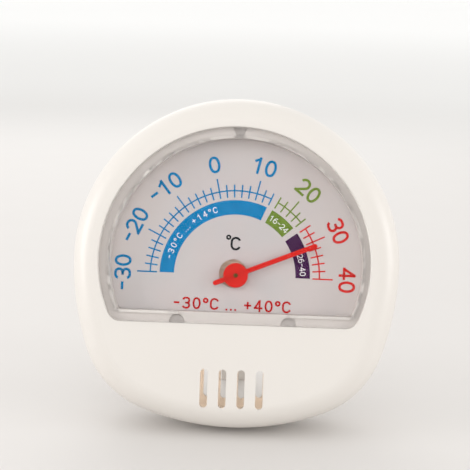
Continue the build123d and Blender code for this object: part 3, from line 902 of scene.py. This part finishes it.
@dataclass
class Case:
    """The two shells of the case, their screws and the hinge pin."""

    nodes: Nodes

    def build(self) -> None:
        """Dresses the shells and what holds them."""
        plastic = MouldedPlastic("case_plastic").material()
        dress(self.nodes, ("front_housing", "rear_cover"), plastic)
        dress(self.nodes, ("case_screws", "hinge_pin"), ZincPlate().material())


@dataclass
class Window:
    """The clear lens."""

    nodes: Nodes

    def build(self) -> None:
        """Dresses the lens and takes its shadow away, so that the lamps light the dial."""
        dress(self.nodes, ("lens",), ClearAcrylic().material())
        self.nodes["lens"].visible_shadow = False


@dataclass
class Pointer:
    """The pointer with its hub, and the turned pieces on its spindle."""

    nodes: Nodes
    face: Face
    reading: float = 31.4
    highest: float = 40.0
    degrees_each: float = 180.0 / 70.0
    front: float = -3.4
    hub_radius: float = 2.82
    hub_bore: float = 0.5
    hub_thickness: float = 0.8
    hub_round: float = 0.16
    width: float = 1.1
    thickness: float = 0.4
    reach: float = 19.9
    tail: float = 5.5
    edge_round: float = 0.1

    def build(self) -> None:
        """Builds the pointer and dresses its spindle."""
        mesh = bmesh.new()
        self.needle(mesh)
        self.hub(mesh)
        paint = PointerPaint().material()
        piece = add_piece(
            "pointer_blade", mesh, self.face.matrix, paint, "pointer"
        )
        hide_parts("pointer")
        brass = Metal("aged_brass", (0.13, 0.095, 0.02), (0.07, 0.05, 0.012), 0.3).material()
        dress(self.nodes, ("spindle", "coil_collar"), brass)
        dress(self.nodes, ("thrust_washer", "spindle_clip"), ZincPlate("zinc_washers").material())

    def needle(self, mesh: bmesh.types.BMesh) -> None:
        """Adds the blade, a long slot shape with its upper edge rounded."""
        radius = self.width / 2.0
        angle = (self.highest - self.reading) * self.degrees_each
        half_step = Matrix.Rotation(math.pi / 32.0, 4, "Z")
        ends = bmesh.ops.create_circle(
            mesh, cap_ends=True, radius=radius, segments=32, matrix=half_step
        )["verts"]
        right = [vert for vert in ends if vert.co.x > 0.0]
        left = [vert for vert in ends if vert.co.x < 0.0]
        bmesh.ops.translate(mesh, verts=right, vec=(self.reach - radius, 0.0, self.front))
        bmesh.ops.translate(mesh, verts=left, vec=(radius - self.tail, 0.0, self.front))
        turn = Matrix.Rotation(math.radians(angle), 3, "Z")
        bmesh.ops.rotate(mesh, verts=ends, cent=(0.0, 0.0, 0.0), matrix=turn)
        rim = list(mesh.edges)
        made = bmesh.ops.extrude_face_region(mesh, geom=list(mesh.faces))["geom"]
        lower = [part for part in made if isinstance(part, bmesh.types.BMVert)]
        bmesh.ops.translate(mesh, verts=lower, vec=(0.0, 0.0, -self.thickness))
        bmesh.ops.bevel(
            mesh, geom=rim, offset=self.edge_round, affect="EDGES", segments=3, profile=0.5,
            material=-1,
        )

    def hub(self, mesh: bmesh.types.BMesh) -> None:
        """Adds the hub, a turned ring with its upper rim rounded."""
        width = self.hub_radius - self.hub_bore
        middle = (self.hub_bore + width / 2.0, 0.0, self.front - self.hub_thickness / 2.0)
        place = (
            Matrix.Translation(middle) @ Matrix.Rotation(math.pi / 2.0, 4, "X")
            @ Matrix.Diagonal((width, self.hub_thickness, 1.0, 1.0))
        )
        section = bmesh.ops.create_grid(
            mesh, x_segments=1, y_segments=1, size=0.5, matrix=place
        )["verts"]
        face = section[0].link_faces[0]
        bmesh.ops.spin(
            mesh, geom=[face, *face.edges, *face.verts], cent=(0.0, 0.0, 0.0), axis=(0.0, 0.0, 1.0),
            dvec=(0.0, 0.0, 0.0), angle=2.0 * math.pi, steps=96, use_merge=True, use_duplicate=False,
        )
        rim = [edge for edge in mesh.edges if all(self._on_rim(vert.co) for vert in edge.verts)]
        bmesh.ops.bevel(
            mesh, geom=rim, offset=self.hub_round, affect="EDGES", segments=4, profile=0.5,
            material=-1,
        )

    def _on_rim(self, spot: Vector) -> bool:
        """Tells whether a point is on the hub's upper rim."""
        return abs(spot.xy.length - self.hub_radius) < 0.01 and abs(spot.z - self.front) < 0.01


@dataclass
class Movement:
    """The plate, bridge and pillars, the bushes and the bimetal coil."""

    nodes: Nodes

    def build(self) -> None:
        """Dresses the movement's pieces."""
        plate = Metal("rolled_plate", (0.9, 0.885, 0.88), (0.8, 0.785, 0.78), 0.4)
        brass = Metal(
            "bush_brass", (0.62, 0.44, 0.18), (0.42, 0.3, 0.12), 0.2, turn=(78.0, 0.0, 0.0)
        )
        coil = Metal("bimetal_strip", (0.52, 0.45, 0.36), (0.36, 0.33, 0.36), 0.26, 5200.0)
        dress(self.nodes, ("movement_plate", "movement_bridge"), plate.material())
        turned = ("front_bush", "rear_bush", "movement_pillars", "coil_stud")
        dress(self.nodes, turned, brass.material())
        dress(self.nodes, ("movement_screws", "bridge_screws"), ZincPlate("zinc_screws").material())
        dress(self.nodes, ("bimetal_coil",), coil.material())


@dataclass
class Strut:
    """The fold-out strut, its edges eased."""

    nodes: Nodes
    edge_round: float = 0.00035
    sharp: float = math.radians(50.0)

    def build(self) -> None:
        """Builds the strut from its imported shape, with eased edges."""
        mesh = bmesh.new()
        mesh.from_mesh(self.nodes["stand"].data)
        bmesh.ops.remove_doubles(mesh, verts=mesh.verts, dist=0.000001)
        bmesh.ops.dissolve_limit(
            mesh, angle_limit=math.radians(1.0), verts=mesh.verts, edges=mesh.edges, delimit=set()
        )
        edges = [
            edge for edge in mesh.edges
            if len(edge.link_faces) == 2 and edge.calc_face_angle() > self.sharp
        ]
        bmesh.ops.bevel(
            mesh, geom=edges, offset=self.edge_round, affect="EDGES", segments=3, profile=0.5,
            material=-1, clamp_overlap=True,
        )
        plastic = MouldedPlastic("strut_plastic", gloss=0.28, peel=0.08).material()
        piece = add_piece("strut", mesh, Matrix.Identity(4), plastic, "stand")
        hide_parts("stand")


# --- Studio ---------------------------------------------------------------------------

@dataclass(frozen=True)
class SoftBox:
    """One square soft lamp: where it hangs, its side in metres and its power in watts."""

    name: str
    place: tuple[float, float, float]
    side: float
    power: float


@dataclass
class Studio:
    """Floor, soft lamps, a pale surrounding, two lamps inside the case and the camera."""

    face: Face
    eye: tuple[float, float, float] = (5.2, 10.45, 260.0)
    aim: tuple[float, float, float] = (-0.49, 9.23, -5.0)
    roll: float = 2.0
    lens: float = 88.2
    floor_half: float = 12.0
    target: tuple[float, float, float] = (0.0, 0.0, 0.04)
    boxes: tuple[SoftBox, ...] = (
        SoftBox("left_box", (-0.52, -0.16, 0.15), 0.26, 1.05),
        SoftBox("right_box", (0.52, -0.16, 0.15), 0.26, 0.8),
        SoftBox("front_box", (-0.04, -0.50, 0.24), 0.34, 0.3),
        SoftBox("back_box", (-0.1, 0.42, 0.36), 0.4, 0.45),
    )
    air: Colour = (1.0, 0.998, 0.988)
    glow_places: tuple[tuple[float, float, float], ...] = (
        (-15.0, -24.0, -8.0), (15.0, -24.0, -8.0),
    )
    glow_radius: float = 0.003
    glow_power: float = 0.0031
    glow_tone: Colour = (1.0, 0.83, 0.68)

    def build(self) -> None:
        """Builds everything around the object."""
        bpy.context.scene.view_settings.view_transform = "Standard"
        self.floor()
        self.surrounding()
        for box in self.boxes:
            self.lamp(box)
        self.inner_glow()
        self.camera()

    def floor(self) -> None:
        """Lays a pale sheet whose colour carries painted shade close to the object."""
        mesh = bmesh.new()
        bmesh.ops.create_grid(mesh, x_segments=1, y_segments=1, size=self.floor_half)
        data = bpy.data.meshes.new("floor")
        mesh.to_mesh(data)
        mesh.free()
        data.materials.append(StudioPaper().material())
        floor = bpy.data.objects.new("floor", data)
        bpy.context.scene.collection.objects.link(floor)

    def surrounding(self) -> None:
        """Sets a pale surrounding."""
        world = bpy.data.worlds.new("studio")
        bpy.context.scene.world = world
        world.use_nodes = True
        background = world.node_tree.nodes["Background"]
        background.inputs["Color"].default_value = (*self.air, 1.0)
        background.inputs["Strength"].default_value = 1.0

    def lamp(self, box: SoftBox) -> None:
        """Hangs one soft lamp that looks at the object."""
        data = bpy.data.lights.new(box.name, "AREA")
        data.size = box.side
        data.energy = box.power
        lamp = bpy.data.objects.new(box.name, data)
        lamp.location = box.place
        aim = Vector(self.target) - Vector(box.place)
        lamp.rotation_euler = aim.to_track_quat("-Z", "Y").to_euler()
        bpy.context.scene.collection.objects.link(lamp)

    def inner_glow(self) -> None:
        """Lights the inside behind the slots with two small lamps that the object lacks."""
        for place in self.glow_places:
            data = bpy.data.lights.new("inner_glow", "POINT")
            data.shadow_soft_size = self.glow_radius
            data.energy = self.glow_power
            data.color = self.glow_tone
            lamp = bpy.data.objects.new("inner_glow", data)
            lamp.location = self.face.point(*place)
            bpy.context.scene.collection.objects.link(lamp)

    def camera(self) -> None:
        """Sets the camera almost square to the dial, rolled a little to the left."""
        data = bpy.data.cameras.new("camera")
        data.lens = self.lens
        data.clip_start = 0.01
        camera = bpy.data.objects.new("camera", data)
        place = self.face.point(*self.eye)
        back = (place - self.face.point(*self.aim)).normalized()
        turn = self.face.matrix.to_3x3().normalized()
        tilt = math.radians(self.roll)
        up = turn @ Vector((-math.sin(tilt), math.cos(tilt), 0.0))
        right = up.cross(back).normalized()
        basis = Matrix((right, back.cross(right), back)).transposed().to_4x4()
        camera.matrix_world = Matrix.Translation(place) @ basis
        bpy.context.scene.collection.objects.link(camera)
        bpy.context.scene.camera = camera


def main() -> None:
    """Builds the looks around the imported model."""
    logging.basicConfig(level=logging.INFO, format="%(name)s: %(message)s")
    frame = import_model()
    nodes = frame["nodes"]
    swing = next(joint for joint in frame["joints"] if joint["name"] == "pointer_swing")
    face = Face(Vector(swing["pos_m"]), Vector(swing["axis"]).normalized())
    Case(nodes).build()
    Window(nodes).build()
    Dial(face).build()
    Pointer(nodes, face).build()
    Movement(nodes).build()
    Strut(nodes).build()
    Studio(face).build()
    bpy.context.view_layer.update()


if __name__ == "__main__":
    main()
